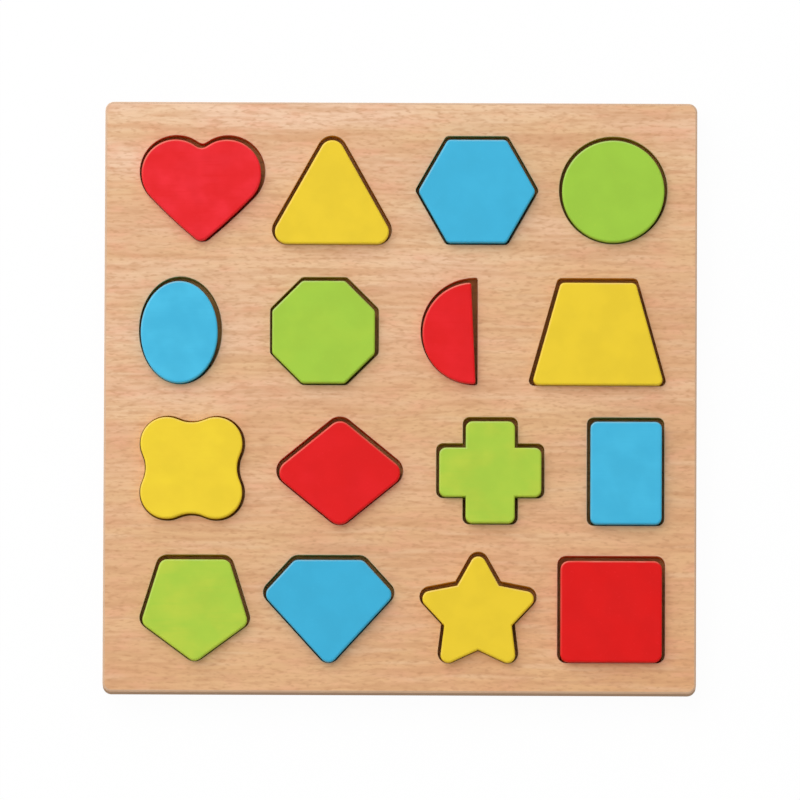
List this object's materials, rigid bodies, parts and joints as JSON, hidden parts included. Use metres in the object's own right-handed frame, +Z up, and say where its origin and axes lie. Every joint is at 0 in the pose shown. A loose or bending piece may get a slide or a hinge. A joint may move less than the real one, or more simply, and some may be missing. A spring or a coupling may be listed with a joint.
{
  "type": "wooden shape puzzle",
  "caption": "Square wooden board with rows of shaped windows, each holding a loose painted block that stands proud of the face and lifts straight out.",
  "frame": {"origin": "middle of the board's underside, where it lies on the table", "axes": "+Z up out of the board's face, +X to the right and +Y up the face as the rows are read"},
  "size_m": [0.2002, 0.2006, 0.013],
  "materials": {
    "beech_plywood": "beech face veneer under thin clear matt lacquer",
    "back_plywood": "plain sanded plywood",
    "red_paint": "satin paint on wood",
    "yellow_paint": "satin paint on wood",
    "blue_paint": "satin paint on wood",
    "green_paint": "satin paint on wood"
  },
  "bodies": {
    "board": {"frame_board": "beech_plywood", "back_board": "back_plywood"},
    "heart": {"heart_block": "red_paint"},
    "triangle": {"triangle_block": "yellow_paint"},
    "hexagon": {"hexagon_block": "blue_paint"},
    "circle": {"circle_block": "green_paint"},
    "oval": {"oval_block": "blue_paint"},
    "octagon": {"octagon_block": "green_paint"},
    "semicircle": {"semicircle_block": "red_paint"},
    "trapezoid": {"trapezoid_block": "yellow_paint"},
    "quatrefoil": {"quatrefoil_block": "yellow_paint"},
    "rhombus": {"rhombus_block": "red_paint"},
    "cross": {"cross_block": "green_paint"},
    "rectangle": {"rectangle_block": "blue_paint"},
    "pentagon": {"pentagon_block": "green_paint"},
    "gem": {"gem_block": "blue_paint"},
    "star": {"star_block": "yellow_paint"},
    "square": {"square_block": "red_paint"}
  },
  "joints": [
    {"name": "heart_lift", "type": "slide", "parent": "board", "child": "heart", "axis": [0, 0, 1], "range_m": [0, 0.025]},
    {"name": "triangle_lift", "type": "slide", "parent": "board", "child": "triangle", "axis": [0, 0, 1], "range_m": [0, 0.025]},
    {"name": "hexagon_lift", "type": "slide", "parent": "board", "child": "hexagon", "axis": [0, 0, 1], "range_m": [0, 0.025]},
    {"name": "circle_lift", "type": "slide", "parent": "board", "child": "circle", "axis": [0, 0, 1], "range_m": [0, 0.025]},
    {"name": "oval_lift", "type": "slide", "parent": "board", "child": "oval", "axis": [0, 0, 1], "range_m": [0, 0.025]},
    {"name": "octagon_lift", "type": "slide", "parent": "board", "child": "octagon", "axis": [0, 0, 1], "range_m": [0, 0.025]},
    {"name": "semicircle_lift", "type": "slide", "parent": "board", "child": "semicircle", "axis": [0, 0, 1], "range_m": [0, 0.025]},
    {"name": "trapezoid_lift", "type": "slide", "parent": "board", "child": "trapezoid", "axis": [0, 0, 1], "range_m": [0, 0.025]},
    {"name": "quatrefoil_lift", "type": "slide", "parent": "board", "child": "quatrefoil", "axis": [0, 0, 1], "range_m": [0, 0.025]},
    {"name": "rhombus_lift", "type": "slide", "parent": "board", "child": "rhombus", "axis": [0, 0, 1], "range_m": [0, 0.025]},
    {"name": "cross_lift", "type": "slide", "parent": "board", "child": "cross", "axis": [0, 0, 1], "range_m": [0, 0.025]},
    {"name": "rectangle_lift", "type": "slide", "parent": "board", "child": "rectangle", "axis": [0, 0, 1], "range_m": [0, 0.025]},
    {"name": "pentagon_lift", "type": "slide", "parent": "board", "child": "pentagon", "axis": [0, 0, 1], "range_m": [0, 0.025]},
    {"name": "gem_lift", "type": "slide", "parent": "board", "child": "gem", "axis": [0, 0, 1], "range_m": [0, 0.025]},
    {"name": "star_lift", "type": "slide", "parent": "board", "child": "star", "axis": [0, 0, 1], "range_m": [0, 0.025]},
    {"name": "square_lift", "type": "slide", "parent": "board", "child": "square", "axis": [0, 0, 1], "range_m": [0, 0.025]}
  ]
}
